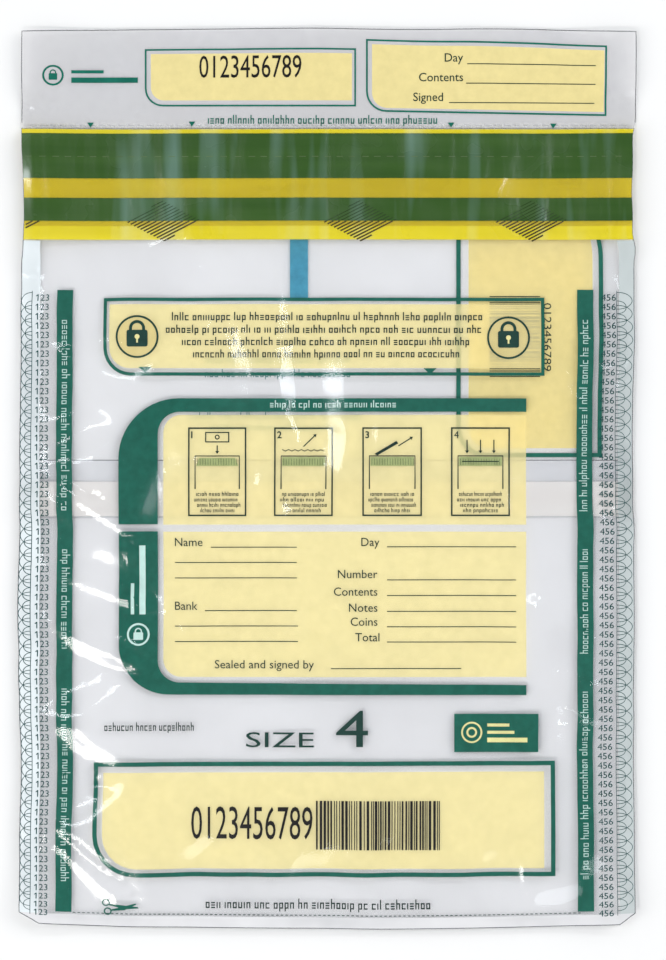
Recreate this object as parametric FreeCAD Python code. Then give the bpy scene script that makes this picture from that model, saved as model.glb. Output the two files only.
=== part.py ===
import FreeCAD, Part
import os

os.makedirs("parts", exist_ok=True)

V = FreeCAD.Vector

# ---------------------------------------------------------------------------
# Tamper-evident film deposit bag, lying flat on its back.
# +X across the bag, +Y from the bottom fold towards the mouth and the
# tear-off receipt, +Z up out of the front face. Origin: middle of the
# footprint, on the surface that the bag lies on. Millimetres.
# ---------------------------------------------------------------------------

# Driving dimensions
width = 228.6            # outside width, 9 in
height = 335.0           # bottom fold to the receipt's top edge
film = 0.10              # 4 mil polyethylene film
weld_width = 6.35        # side weld bands, 1/4 in

receipt_height = 36.9    # tear-off receipt, with its perforated land
perf_land = 2.0          # the band of film that holds the perforation
perf_cut = (2.4, 0.6)    # each cut: length across, width along the height
perf_pitch = 3.6

lip_height = 42.2        # free closing lip of the front film
bottom_strip = 4.1       # sealed strip below the cut line
corner_cut = 6.5         # chamfer at the two bottom corners, across

pouch_mouth = 6.7        # Y of the rear pouch lip's free edge
pouch_fold = -15.0       # Y of the rear pouch lip's fold
liner_band = (-14.2, -1.3)   # white liner on the rear pouch lip

upper_tape = (111.7, 128.4)  # Y span of the upper green security tape
lower_tape = (95.8, 104.4)   # Y span of the lower green security tape

# Heights of the layers above the surface that the bag lies on
z_back = 0.30            # underside of the back film
z_weld = 0.50            # top of the welded edges
z_top = 5.70             # underside of the front film where it stands up
slope_side = 13.0        # run of the front film's side slopes
slope_bottom = 15.5      # run of the front film's bottom slope

tape_t = 0.08            # security tapes
glue_t = 0.03            # adhesive coats
liner_t = 0.07           # release liners
glue_gap = 0.02          # free space between an adhesive and its liner
fold_gap = 0.10          # half the free space at each fold line

# Derived positions
hx = width / 2
wx = hx - weld_width                   # inner edge of the side welds
y_bot = -height / 2
y_strip = y_bot + bottom_strip         # top edge of the sealed bottom strip
y_top = height / 2
y_mouth = y_top - receipt_height       # mouth edge: 130.6
y_fold = y_mouth - lip_height + 0.0    # fold line of the closing lip: 88.4
px = wx - slope_side                   # edge of the standing front film
py = y_strip + slope_bottom

print("bag body height", round(y_mouth - y_bot, 2), "fold line", round(y_fold, 2),
      "mouth edge", round(y_mouth, 2))


def box(x0, x1, y0, y1, z0, z1):
    return Part.makeBox(x1 - x0, y1 - y0, z1 - z0, V(x0, y0, z0))


def plate(points, z0, z1):
    """A flat plate: an outline in X and Y between two heights."""
    pts = [V(x, y, z0) for x, y in points]
    face = Part.Face(Part.makePolygon(pts + [pts[0]]))
    return face.extrude(V(0, 0, z1 - z0))


def folded(facets, t):
    """A film of flat facets: each facet's underside, thickened upwards by t."""
    faces, edges = [], {}
    for f in facets:
        low = [V(*p) for p in f]
        top = [V(p[0], p[1], p[2] + t) for p in f]
        faces.append(Part.Face(Part.makePolygon(low + [low[0]])))
        faces.append(Part.Face(Part.makePolygon(top + [top[0]])))
        for a, b in zip(f, f[1:] + f[:1]):
            key = tuple(sorted((a, b)))
            edges[key] = edges.get(key, 0) + 1
    for (a, b), n in edges.items():
        if n == 1:
            q = [V(*a), V(*b), V(b[0], b[1], b[2] + t), V(a[0], a[1], a[2] + t)]
            faces.append(Part.Face(Part.makePolygon(q + [q[0]])))
    solid = Part.Solid(Part.Shell(faces))
    if solid.Volume < 0:
        solid.reverse()
    return solid


def profile_x(points, x0, x1):
    """A bar along X with a profile in Y and Z."""
    pts = [V(x0, y, z) for y, z in points]
    face = Part.Face(Part.makePolygon(pts + [pts[0]]))
    return face.extrude(V(x1 - x0, 0, 0))


parts = {}

# Front film, from the bottom strip up to the lip's fold line. It stands a few
# millimetres off the back film and slopes down to the welds and the bottom.
ye = y_fold - fold_gap
zt, zw = z_top, z_weld - film
parts["front_panel"] = folded(
    [
        [(-px, py, zt), (px, py, zt), (px, ye, zt), (-px, ye, zt)],
        [(-wx, y_strip, zw), (wx, y_strip, zw), (px, py, zt), (-px, py, zt)],
        [(-wx, y_strip, zw), (-px, py, zt), (-px, ye, zt), (-wx, ye, zw)],
        [(px, py, zt), (wx, y_strip, zw), (wx, ye, zw), (px, ye, zt)],
    ],
    film,
)

# Back film, from the bottom strip up to the perforation. Above the lip's fold
# line it is full width, because nothing is welded to it there.
yb = y_mouth - fold_gap
parts["back_panel"] = plate(
    [(-wx, y_strip), (wx, y_strip), (wx, ye), (hx, ye), (hx, yb), (-hx, yb), (-hx, ye), (-wx, ye)],
    z_back,
    z_back + film,
)

# Side welds: the bands where the films are fused. Their underside is relieved
# where the rear pouch's lip passes under them.
weld_profile = [
    (y_strip, 0.0),
    (pouch_fold - fold_gap, 0.0),
    (pouch_fold - fold_gap, z_back),
    (pouch_mouth + 0.8, z_back),
    (pouch_mouth + 0.8, 0.0),
    (ye, 0.0),
    (ye, z_weld),
    (y_strip, z_weld),
]
parts["left_side_weld"] = profile_x(weld_profile, -hx, -wx)
parts["right_side_weld"] = profile_x(weld_profile, wx, hx)

# Flattened, sealed fold below the cut line, with its two clipped corners.
parts["bottom_fold"] = plate(
    [(-hx + corner_cut, y_bot), (hx - corner_cut, y_bot), (hx, y_strip), (-hx, y_strip)],
    0.0,
    z_weld,
)

# Closing lip of the front film, free along three edges.
yl = y_fold + fold_gap
lip_end = y_mouth - 0.4
parts["closure_lip"] = box(-hx, hx, yl, lip_end, z_top, z_top + film)
parts["upper_security_tape"] = box(
    -hx, hx, upper_tape[0], upper_tape[1], z_top + film, z_top + film + tape_t
)
parts["lower_security_tape"] = box(
    -hx, hx, lower_tape[0], lower_tape[1], z_top + film, z_top + film + tape_t
)
parts["closure_adhesive"] = box(
    -hx, hx, lower_tape[0] - 3.5, upper_tape[1], z_top - glue_t, z_top
)
zl = z_top - glue_t - glue_gap
parts["closure_release_liner"] = box(-hx, hx, yl + 0.3, lip_end, zl - liner_t, zl)

# Perforated land: a band of back film with the row of tear cuts.
y0 = y_mouth + fold_gap
y1 = y0 + perf_land
land = box(-hx, hx, y0, y1, z_back, z_back + film)
cuts = []
n = int((width - 2 * 3.0 + (perf_pitch - perf_cut[0])) / perf_pitch)
start = -((n - 1) * perf_pitch) / 2
ym = (y0 + y1) / 2
for i in range(n):
    xc = start + i * perf_pitch
    cuts.append(
        box(xc - perf_cut[0] / 2, xc + perf_cut[0] / 2, ym - perf_cut[1] / 2, ym + perf_cut[1] / 2,
            z_back - 1, z_back + 1)
    )
parts["perforation_strip"] = land.cut(Part.makeCompound(cuts))
print("perforation cuts", n)

# Tear-off receipt.
parts["receipt_strip"] = box(-hx, hx, y1 + fold_gap, y_top, z_back, z_back + film)

# Rear document pouch: its own film, welded at the sides and the bottom, with
# a free lip, a strip of adhesive and a white release liner.
parts["pouch_panel"] = box(-wx, wx, y_strip, pouch_fold - fold_gap, 0.0, film)
parts["pouch_lip"] = box(-hx, hx, pouch_fold + fold_gap, pouch_mouth, 0.0, film)
parts["pouch_adhesive"] = box(-wx, wx, liner_band[0], liner_band[1], film, film + glue_t)
zq = film + glue_t + glue_gap
parts["pouch_release_liner"] = box(-hx, hx, liner_band[0], liner_band[1], zq, zq + liner_t)

total = 0.0
for name, shape in parts.items():
    solids = shape.Solids
    if not shape.isValid() or not solids or min(s.Volume for s in solids) <= 0:
        raise ValueError(f"{name} isn't a valid solid")
    if len(solids) == 1:
        shape = solids[0]
    b = shape.BoundBox
    total += shape.Volume
    print(f"{name:24s} solids {len(solids)} volume {shape.Volume:9.2f} "
          f"x {b.XMin:8.2f} {b.XMax:8.2f} y {b.YMin:8.2f} {b.YMax:8.2f} z {b.ZMin:5.2f} {b.ZMax:5.2f}")
    shape.exportStep(f"parts/{name}.step")
print("total volume cm3", round(total / 1000, 2))
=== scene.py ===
import math

import bmesh
import bpy
import numpy as np
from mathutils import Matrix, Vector
from mathutils.geometry import tessellate_polygon


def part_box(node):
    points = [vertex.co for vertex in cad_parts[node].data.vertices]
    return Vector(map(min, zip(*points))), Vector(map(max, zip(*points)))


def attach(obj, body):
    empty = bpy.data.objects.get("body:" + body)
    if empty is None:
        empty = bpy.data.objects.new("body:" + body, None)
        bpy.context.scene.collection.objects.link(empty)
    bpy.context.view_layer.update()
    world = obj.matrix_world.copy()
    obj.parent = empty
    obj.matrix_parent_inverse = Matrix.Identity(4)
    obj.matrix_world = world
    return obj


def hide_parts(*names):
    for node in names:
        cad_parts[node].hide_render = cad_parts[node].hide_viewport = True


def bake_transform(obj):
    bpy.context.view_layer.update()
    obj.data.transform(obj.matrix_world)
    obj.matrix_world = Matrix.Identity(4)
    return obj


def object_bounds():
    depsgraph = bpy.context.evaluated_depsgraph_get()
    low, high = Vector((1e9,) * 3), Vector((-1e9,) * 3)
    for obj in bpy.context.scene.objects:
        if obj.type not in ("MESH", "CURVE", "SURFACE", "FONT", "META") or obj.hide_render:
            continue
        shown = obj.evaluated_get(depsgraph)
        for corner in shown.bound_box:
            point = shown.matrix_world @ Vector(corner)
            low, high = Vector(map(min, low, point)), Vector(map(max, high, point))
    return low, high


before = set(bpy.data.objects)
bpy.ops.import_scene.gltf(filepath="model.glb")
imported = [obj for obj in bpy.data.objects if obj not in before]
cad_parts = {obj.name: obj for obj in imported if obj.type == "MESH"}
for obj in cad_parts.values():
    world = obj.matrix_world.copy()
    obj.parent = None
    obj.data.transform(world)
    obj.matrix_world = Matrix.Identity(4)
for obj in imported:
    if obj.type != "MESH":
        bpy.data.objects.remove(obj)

scene = bpy.context.scene
MM = 0.001
start_lo, start_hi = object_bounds()

# ---------------------------------------------------------------------------
# Lines of the bag, in millimetres, read from the frame
# ---------------------------------------------------------------------------
_fp, _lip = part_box("front_panel"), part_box("closure_lip")
_perf, _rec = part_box("perforation_strip"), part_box("receipt_strip")
_pp, _pl, _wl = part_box("pouch_panel"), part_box("pouch_lip"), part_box("pouch_release_liner")
HX = start_hi.x / MM                     # half width
WX = _fp[1].x / MM                       # inner edge of the side welds
YB, YT = start_lo.y / MM, start_hi.y / MM
YS = _fp[0].y / MM                       # top of the sealed bottom strip
YF = (_fp[1].y + _lip[0].y) / 2 / MM     # fold line of the closing lip
YL = _lip[1].y / MM                      # free edge of the lip
YM = _perf[0].y / MM - 0.1               # mouth edge, where the perforation starts
YR = (_perf[1].y + _rec[0].y) / 2 / MM   # tear line of the receipt
PF = (_pp[1].y + _pl[0].y) / 2 / MM      # fold of the rear pouch's lip
PE = _pl[1].y / MM                       # free edge of the rear pouch's lip
T1 = [v.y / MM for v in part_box("upper_security_tape")]
T2 = [v.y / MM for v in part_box("lower_security_tape")]
WL = [v.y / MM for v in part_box("pouch_release_liner")]
GL = [v.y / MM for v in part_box("closure_adhesive")]

# Artwork is drawn on a sheet of 612 units across the bag, counted from a
# corner point up and left of the receipt.
UNIT = 2 * HX / 612.0


def ax(u):
    return -HX + (u - 23.0) * UNIT


def ay(v):
    return YT - (v - 29.5) * UNIT


# ---------------------------------------------------------------------------
# Seeded smooth noise on arrays
# ---------------------------------------------------------------------------
def vnoise(x, y, sx, sy, seed):
    """Smooth value noise from -1 to 1, with cells of sx by sy millimetres."""
    rng = np.random.default_rng(seed)
    tab = rng.uniform(-1, 1, (64, 64))
    u, v = np.asarray(x) / sx + 17.3, np.asarray(y) / sy + 29.1
    i, j = np.floor(u).astype(int), np.floor(v).astype(int)
    fu, fv = u - i, v - j
    fu, fv = fu * fu * fu * (fu * (fu * 6 - 15) + 10), fv * fv * fv * (fv * (fv * 6 - 15) + 10)
    a, b = tab[i % 64, j % 64], tab[(i + 1) % 64, j % 64]
    c, d = tab[i % 64, (j + 1) % 64], tab[(i + 1) % 64, (j + 1) % 64]
    return (a * (1 - fu) + b * fu) * (1 - fv) + (c * (1 - fu) + d * fu) * fv


def smooth(t):
    t = np.clip(t, 0, 1)
    return t * t * (3 - 2 * t)


def ridge(x, y, x0, y0, x1, y1, width, height, taper=0.25):
    """A soft crease from one point to another: a rounded ridge across its line."""
    dx, dy = x1 - x0, y1 - y0
    n = math.hypot(dx, dy)
    t = ((x - x0) * dx + (y - y0) * dy) / (n * n)
    s = ((x - x0) * -dy + (y - y0) * dx) / n
    along = smooth(t / taper) * smooth((1 - t) / taper)
    return height * along * np.exp(-(s / width) ** 2)


# ---------------------------------------------------------------------------
# The films as grids over the flat sheet
# ---------------------------------------------------------------------------
def lines(*spans):
    out = [spans[0][0]]
    for a, b, n in spans:
        out += [a + (b - a) * (k + 1) / n for k in range(n)]
    return np.array(out)


class Film:
    """A surface over the flat sheet: grid lines xs and ys and a point for each crossing."""

    def __init__(self, xs, ys, P):
        self.xs, self.ys, self.P = xs, ys, P
        gx = np.gradient(P, xs, axis=1)
        gy = np.gradient(P, ys, axis=0)
        n = np.cross(gx, gy)
        self.N = n / np.linalg.norm(n, axis=2, keepdims=True)

    def at(self, x, y, off=0.0):
        x, y = np.asarray(x, float), np.asarray(y, float)
        i = np.clip(np.searchsorted(self.xs, x) - 1, 0, len(self.xs) - 2)
        j = np.clip(np.searchsorted(self.ys, y) - 1, 0, len(self.ys) - 2)
        fx = ((x - self.xs[i]) / (self.xs[i + 1] - self.xs[i]))[:, None]
        fy = ((y - self.ys[j]) / (self.ys[j + 1] - self.ys[j]))[:, None]

        def mix(A):
            return (A[j, i] * (1 - fx) + A[j, i + 1] * fx) * (1 - fy) + (
                A[j + 1, i] * (1 - fx) + A[j + 1, i + 1] * fx
            ) * fy

        n = mix(self.N)
        n = n / np.linalg.norm(n, axis=1, keepdims=True)
        return mix(self.P) + n * np.asarray(off).reshape(-1, 1)


def lift(x, y):
    """How far the whole flat bag stands off the table: soft curls at edges and corners."""
    e = smooth((np.abs(x) - 82) / 30)
    z = 0.25 + 0.20 * vnoise(x, y, 60, 75, 3)
    z += e * (1.75 + 0.60 * vnoise(x, y, 400, 34, 5) + 0.25 * vnoise(x, y, 400, 13, 6))
    z += smooth((y - 128) / 38) * (0.45 + 0.25 * vnoise(x, y, 46, 300, 8))
    z += smooth((-138 - y) / 28) * (1.6 + 0.5 * vnoise(x, y, 50, 300, 9))
    z += 1.6 * smooth((np.hypot(x + 118, y + 172) * -1 + 34) / 34)
    z += 1.2 * smooth((np.hypot(x - 118, y + 172) * -1 + 30) / 30)
    z += 0.5 * smooth((np.hypot(x + 118, y - 172) * -1 + 32) / 32)
    return np.maximum(z, 0.12)


def plan(x, y):
    """Small sideways set of the film's outline: nothing on a real bag is ruler straight."""
    ex = smooth((np.abs(x) - 70) / 44)
    side = np.where(x < 0, 0, 200)
    dx = ex * (0.42 * vnoise(side, y, 400, 26, 11) + 0.22 * vnoise(side, y, 400, 9, 12))
    tape = smooth((y - 84) / 8) * smooth((134 - y) / 6)
    dx = dx - ex * tape * np.where(x > 0, 1.15, -0.35)
    edge = smooth((np.abs(x) - 108.5) / 5.5) * smooth((86 - y) / 6)
    dx = dx - edge * np.where(x > 0, 0.80, 0.70 + 0.95 * np.exp(-(((y + 45) / 38) ** 2)))
    bow = 1 - (x / HX) ** 2
    top, low = smooth((y - 134) / 33), smooth((-60 - y) / 107)
    dy = top * (0.9 * bow - 0.75) - low * (0.9 * bow - 0.6)
    t = np.abs(x / HX)
    dy = dy + smooth((-151 - y) / 16) * np.where(x < 0, 2.1 * t ** 3, 1.2 * t ** 2)
    dy = dy + top * 0.35 * vnoise(x, 0 * y, 40, 400, 13) + low * 0.35 * vnoise(x, 0 * y, 36, 400, 14)
    return dx, dy


def simulate(xs, ys, z0, pins, slack, frames, bending):
    """Film by cloth simulation: a sheet held at its welds, with a little more
    film than the space between them, so that it buckles as film does.
    Worked at ten times the size. Returns the settled points in millimetres."""
    S = 0.01
    X, Y = np.meshgrid(xs, ys)
    co = np.stack([X * S, Y * S, z0 * S], axis=2).reshape(-1, 3)
    nx, ny = len(xs), len(ys)
    idx = np.arange(nx * ny).reshape(ny, nx)
    quads = np.stack([idx[:-1, :-1], idx[:-1, 1:], idx[1:, 1:], idx[1:, :-1]], axis=2).reshape(-1, 4)
    me = bpy.data.meshes.new("sim")
    me.from_pydata(co.tolist(), [], quads.tolist())
    ob = bpy.data.objects.new("sim", me)
    scene.collection.objects.link(ob)
    gp = ob.vertex_groups.new(name="pin")
    for k in np.nonzero(pins.reshape(-1) > 0.001)[0]:
        gp.add([int(k)], float(pins.reshape(-1)[k]), "REPLACE")
    gs = ob.vertex_groups.new(name="slack")
    w = 1.0 - np.clip(slack.reshape(-1), 0, 1)
    for k in range(nx * ny):
        gs.add([k], float(w[k]), "REPLACE")
    mod = ob.modifiers.new("Cloth", "CLOTH")
    c = mod.settings
    c.quality = 6
    c.mass = 0.15
    c.tension_stiffness = c.compression_stiffness = 25
    c.shear_stiffness = 12
    c.bending_model = "ANGULAR"
    c.bending_stiffness = bending
    c.tension_damping = c.compression_damping = 8
    c.shear_damping = 8
    c.bending_damping = 0.6
    c.air_damping = 2.0
    c.vertex_group_mass = "pin"
    c.pin_stiffness = 1.0
    c.vertex_group_shrink = "slack"
    c.shrink_min = -0.022
    c.shrink_max = 0.0
    c.use_pressure = True
    c.uniform_pressure_force = 0.05
    c.effector_weights.gravity = 0.0
    mod.collision_settings.use_collision = False
    mod.collision_settings.use_self_collision = False
    mod.point_cache.frame_start, mod.point_cache.frame_end = 1, frames
    for f in range(1, frames + 1):
        scene.frame_set(f)
    ev = ob.evaluated_get(bpy.context.evaluated_depsgraph_get())
    m2 = ev.to_mesh()
    out = np.zeros(len(m2.vertices) * 3)
    m2.vertices.foreach_get("co", out)
    ev.to_mesh_clear()
    bpy.data.objects.remove(ob)
    bpy.data.meshes.remove(me)
    scene.frame_set(1)
    return (out.reshape(ny, nx, 3)) / S


XS = lines((-HX, -WX, 4), (-WX, WX, 108), (WX, HX, 4))
YSF = lines((YB, YS, 2), (YS, YF, 126), (YF, YL, 21), (YL, YM, 1))
X, Y = np.meshgrid(XS, YSF)

inner = smooth((WX - np.abs(X)) / 24) * smooth((Y - YS) / 26)
z_start = 1.3 * inner * smooth((100 - Y) / 60) + 0.3 * inner * (
    vnoise(X, Y, 17, 22, 21) + 0.5 * vnoise(X, Y, 9, 11, 22)
)
# more slack along the left side, at the lower left and down the right side
slack = 0.05 + 0.04 * vnoise(X, Y, 50, 60, 23)
slack += 0.60 * np.exp(-(((X + 92) / 20) ** 2)) * (0.50 + 0.50 * vnoise(X, Y, 90, 30, 24))
slack += 0.34 * np.exp(-(((X - 94) / 17) ** 2)) * (0.5 + 0.5 * vnoise(X, Y, 90, 24, 25))
slack += 0.20 * smooth((-128 - Y) / 26)
slack *= smooth((WX - np.abs(X)) / 8) * smooth((Y - YS) / 8) * smooth((92 - Y) / 10)
pins = np.where((np.abs(X) >= WX - 0.01) | (Y <= YS + 0.01), 1.0, 0.0)
settled = simulate(XS, YSF, z_start, pins, slack, 30, 1.6)
PX, PY, ZF = settled[..., 0], settled[..., 1], settled[..., 2]


def soften(A, times):
    """Takes the grid's own noise out of the settled film."""
    for _ in range(times):
        B = np.pad(A, 1, mode="edge")
        B = (B[:-2, 1:-1] + 2 * B[1:-1, 1:-1] + B[2:, 1:-1]) / 4
        B = np.pad(B, ((0, 0), (1, 1)), mode="edge")
        A = (B[:, :-2] + 2 * B[:, 1:-1] + B[:, 2:]) / 4
    return A


free = 1 - np.clip(pins, 0, 1)
ZF = ZF * (1 - free) + soften(ZF, 2) * free
DXF, DYF = soften(PX - X, 2) * free, soften(PY - Y, 2) * free

# ---------------------------------------------------------------------------
# Surfaces of the films, one above the other
# ---------------------------------------------------------------------------
dx, dy = plan(X, Y)
rel = 0.22 * np.log1p(np.exp((ZF + 0.05) / 0.22))
lipm = smooth((Y - 78) / 12)
wave = 0.62 * vnoise(X + 0.08 * Y, Y, 24, 260, 31) + 0.30 * vnoise(X - 0.05 * Y, Y, 10, 150, 32)
groove = -0.30 * np.exp(-(((np.abs(X) - WX) / 1.3) ** 2)) * smooth((Y - 60) / 30)
rel = rel * (1 - 0.7 * lipm) + lipm * (1.62 + wave) + groove * lipm


def fold(x, y, x0, y0, x1, y1, w, g, back_w):
    """A drawn fold that starts at the weld and widens inward: a crisp crest from the
    first point to the second, a flat flank of slope g below it and a shorter one above.
    Returns the rise and how much of the place the fold takes."""
    ux, uy = x1 - x0, y1 - y0
    n = math.hypot(ux, uy)
    ux, uy = ux / n, uy / n
    t = ((x - x0) * ux + (y - y0) * uy) / n
    d = (x - x0) * uy - (y - y0) * ux  # positive below the crest
    ww = w * (0.35 + 0.65 * smooth(t / 0.45)) * smooth((1.12 - t) / 0.35) + 1e-6
    h = g * ww * smooth(t / 0.10 + 0.3)
    low = np.clip(1 - np.clip(d, 0, None) / ww, 0, 1)
    top = np.clip(1 - np.clip(-d, 0, None) / (back_w + 0.25 * ww), 0, 1)
    live = (t > -0.05) & (t < 1.12)
    rise = h * np.where(d >= 0, low, smooth(top)) * live
    share = np.where(d >= 0, smooth(low * 3), smooth(top * 2)) * live * smooth(t / 0.05 + 0.5) * smooth((1.12 - t) / 0.3)
    return rise, share


for f in (
    (-108, 3.0, -68, -23, 8.5, 0.205, 3.0), (-108, -31.0, -66, -48, 7.5, 0.205, 3.0),
    (-108, -51.5, -68, -71, 10.0, 0.205, 3.5), (-108, -129, -76, -158, 7.0, 0.205, 3.0),
    (-108, -101, -84, -116, 4.5, 0.20, 2.5), (-108, 49, -88, 40, 4.0, 0.20, 2.5),
    (74, -42, 108, -60, 4.5, 0.20, 3.0), (84, -88, 108, -101, 4.0, 0.20, 2.5),
):
    rise, share = fold(X, Y, *f)
    rel = rel * (1 - 0.8 * share) + rise
rel += ridge(X, Y, 60, -30, 106, -72, 5.0, 0.5)
rel = np.where(np.abs(X) >= WX - 0.01, np.maximum(rel * (lipm > 0), 0.02), rel)
weld_ripple = np.where(np.abs(X) >= WX - 0.01, 0.10 * vnoise(X, Y, 7, 3.1, 33) * (1 - lipm), 0)
front = Film(
    XS, YSF, np.stack([X + dx + DXF, Y + dy + DYF, lift(X, Y) + 0.78 + rel + weld_ripple + 0.12], axis=2)
)

YSB = lines((YB, YS, 2), (YS, YF, 100), (YF, YM, 17), (YM, YR, 2), (YR, YT, 14))
XB, YBG = np.meshgrid(XS, YSB)
bdx, bdy = plan(XB, YBG)
rw = smooth((YBG - YM) / 8)
back_z = lift(XB, YBG) + 0.38 + 0.10 * vnoise(XB, YBG, 13, 17, 41) + 0.06 * vnoise(XB, YBG, 6, 8, 42)
back_z += rw * (0.10 + 0.34 * vnoise(XB, YBG, 20, 90, 43) + 0.24 * vnoise(XB + 0.5 * YBG, YBG, 9, 26, 44))
back_z += rw * -0.22 * np.exp(-(((np.abs(XB) - WX) / 1.2) ** 2))
# beside the perforation the film lies flat, so that it folds up cleanly in front of the lip
held = smooth((YBG - 116) / 12) * smooth((150 - YBG) / 13)
back_z = back_z * (1 - held) + (0.60 + 0.03 * vnoise(XB, YBG, 15, 300, 45)) * held
back = Film(XS, YSB, np.stack([XB + bdx, YBG + bdy, back_z], axis=2))

YSP = lines((YB, YS, 2), (YS, PF, 60), (PF, PE, 11))
XP, YP = np.meshgrid(XS, YSP)
pdx, pdy = plan(XP, YP)
pouch_z = lift(XP, YP) + 0.04 + 0.02 * vnoise(XP, YP, 12, 14, 51)
pouch = Film(XS, YSP, np.stack([XP + pdx, YP + pdy, pouch_z], axis=2))


# ---------------------------------------------------------------------------
# Meshes on the films
# ---------------------------------------------------------------------------
def finish_mesh(name, co, flat, faces, mats, face_mat=None, sharp=False):
    me = bpy.data.meshes.new(name)
    me.from_pydata((np.asarray(co) * MM).tolist(), [], faces)
    uv = me.uv_layers.new(name="flat")
    loops = np.zeros(len(me.loops), np.int32)
    me.loops.foreach_get("vertex_index", loops)
    uv.data.foreach_set("uv", (np.asarray(flat)[loops] / 100.0).astype(np.float32).ravel())
    for m in mats:
        me.materials.append(m)
    if face_mat is not None:
        me.polygons.foreach_set("material_index", np.asarray(face_mat, np.int32))
    if not sharp:
        me.polygons.foreach_set("use_smooth", [True] * len(me.polygons))
    me.update()
    ob = bpy.data.objects.new(name, me)
    scene.collection.objects.link(ob)
    return ob


def bead(film, path, off, radius=0.22):
    """The fine rounded bead that a hot cut leaves along a film's edge, following a flat path."""
    p = np.array(path, float)
    out = [p[0]]
    for a, b in zip(p[:-1], p[1:]):
        n = max(1, int(np.linalg.norm(b - a) / 2.5))
        out += [a + (b - a) * (k + 1) / n for k in range(n)]
    flat = np.array(out)
    c = film.at(flat[:, 0], flat[:, 1], off)
    t = np.gradient(c, axis=0)
    t /= np.linalg.norm(t, axis=1, keepdims=True)
    side = np.cross(t, [0, 0, 1.0])
    up = np.cross(side, t)
    ring = [(math.cos(a), math.sin(a)) for a in (0.4, 1.66, 2.9, 4.17, 5.43)]
    co, fl, faces = [], [], []
    for i in range(len(c)):
        for cs, sn in ring:
            q = c[i] + radius * (side[i] * cs + up[i] * sn)
            co.append(np.array((q[0], q[1], max(q[2], 0.03))))
            fl.append(flat[i])
    k = len(ring)
    for i in range(len(c) - 1):
        for q in range(k):
            r = (q + 1) % k
            faces.append([i * k + q, i * k + r, (i + 1) * k + r, (i + 1) * k + q])
    return co, fl, faces


def panel(name, film, rects, mats, off=0.0, chamfer=None, holes=None, beads=(), extra_x=(), above=None, rim=0.22):
    """A sheet cut from flat rectangles and laid on a film's surface."""
    xs, ys = set(), set()
    for x0, x1, y0, y1 in rects:
        for a, b, s in ((x0, x1, xs), (y0, y1, ys)):
            own = film.xs if s is xs else film.ys
            s.update(round(float(v), 4) for v in own[(own > a + 0.02) & (own < b - 0.02)])
            s.update((round(float(a), 4), round(float(b), 4)))
    xs.update(extra_x)
    xs, ys = np.array(sorted(xs)), np.array(sorted(ys))
    # near-duplicate lines are dropped
    xs, ys = xs[np.r_[True, np.diff(xs) > 0.05]], ys[np.r_[True, np.diff(ys) > 0.05]]
    vid, flat, faces = {}, [], []
    for j in range(len(ys) - 1):
        for i in range(len(xs) - 1):
            cx, cy = (xs[i] + xs[i + 1]) / 2, (ys[j] + ys[j + 1]) / 2
            if not any(x0 < cx < x1 and y0 < cy < y1 for x0, x1, y0, y1 in rects):
                continue
            if holes is not None and holes(cx, cy):
                continue
            q = []
            for a, b in ((i, j), (i + 1, j), (i + 1, j + 1), (i, j + 1)):
                if (a, b) not in vid:
                    vid[(a, b)] = len(flat)
                    flat.append((xs[a], ys[b]))
                q.append(vid[(a, b)])
            faces.append(q)
    flat = np.array(flat)
    if chamfer:
        bm = bmesh.new()
        vs = [bm.verts.new((x, y, 0)) for x, y in flat]
        for f in faces:
            bm.faces.new([vs[k] for k in f])
        for p, n in chamfer:
            bmesh.ops.bisect_plane(
                bm, geom=bm.verts[:] + bm.edges[:] + bm.faces[:], plane_co=(p[0], p[1], 0),
                plane_no=(n[0], n[1], 0), clear_outer=True)
        bm.verts.ensure_lookup_table()
        bm.verts.index_update()
        flat = np.array([(v.co.x, v.co.y) for v in bm.verts])
        faces = [[v.index for v in f.verts] for f in bm.faces]
        bm.free()
    co = film.at(flat[:, 0], flat[:, 1], off)
    fm = [0] * len(faces)
    if above is not None:
        fm = [1 if flat[f][:, 1].mean() > above else 0 for f in faces]
    co, fl = co.tolist(), flat.tolist()
    for path in beads:
        c2, f2, q2 = bead(film, path, off, rim)
        base = len(co)
        co += [list(v) for v in c2]
        fl += [list(v) for v in f2]
        faces += [[base + k for k in q] for q in q2]
        fm += [len(mats) - 1] * len(q2)
    return finish_mesh(name, co, fl, faces, mats, fm)


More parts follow.
